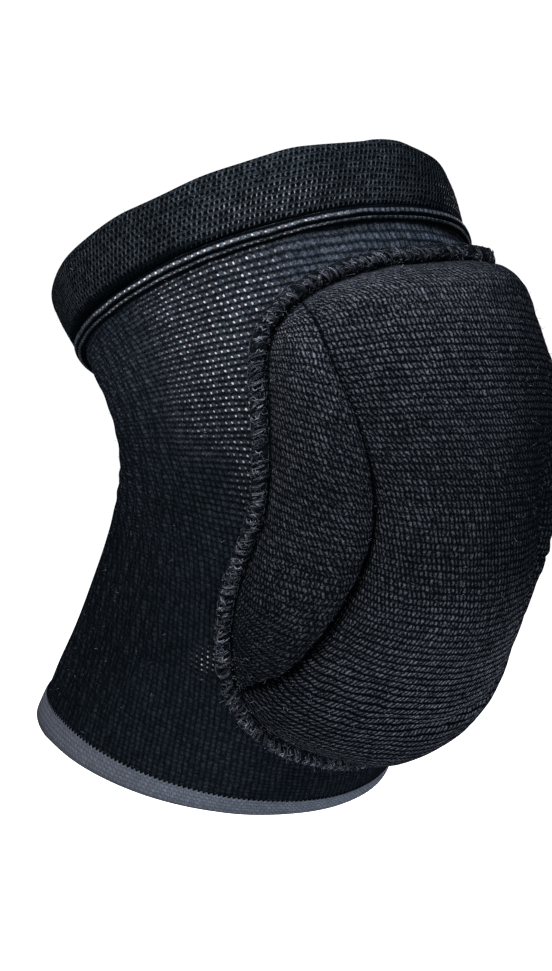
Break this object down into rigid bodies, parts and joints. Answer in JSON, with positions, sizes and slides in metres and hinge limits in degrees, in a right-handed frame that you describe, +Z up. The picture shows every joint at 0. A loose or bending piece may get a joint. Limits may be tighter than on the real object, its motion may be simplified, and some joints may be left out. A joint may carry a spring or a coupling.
{
  "type": "knee pad",
  "caption": "Knitted slip-on knee pad in its worn, bent shape: an elastic sleeve with a folded cuff and a bound hem, and a lobed foam pad sewn over the kneecap.",
  "frame": {"origin": "middle of the knee's bend, on the centre line of the leg that wears the pad", "axes": "+Z up along the leg where it bends, the padded front faces -Y, X runs across the leg"},
  "size_m": [0.1416, 0.1764, 0.2167],
  "materials": {
    "black_knit": "elastic rib knit, matt, with paler elastic showing between the stitches",
    "cover_knit": "close plain knit, matt with a faint sheen on its ridges",
    "grey_knit": "fine ribbed grey knit, matt",
    "seam_thread": "fuzzy overlock thread",
    "foam": "closed-cell foam, matt"
  },
  "bodies": {
    "root": {"sleeve": "black_knit", "top_cuff": "black_knit", "cuff_welt": "black_knit", "bottom_hem": "grey_knit", "pad_cover": "cover_knit", "pad_seam": "seam_thread", "foam_centre": "foam", "foam_wing_left": "foam", "foam_wing_right": "foam"}
  },
  "joints": []
}
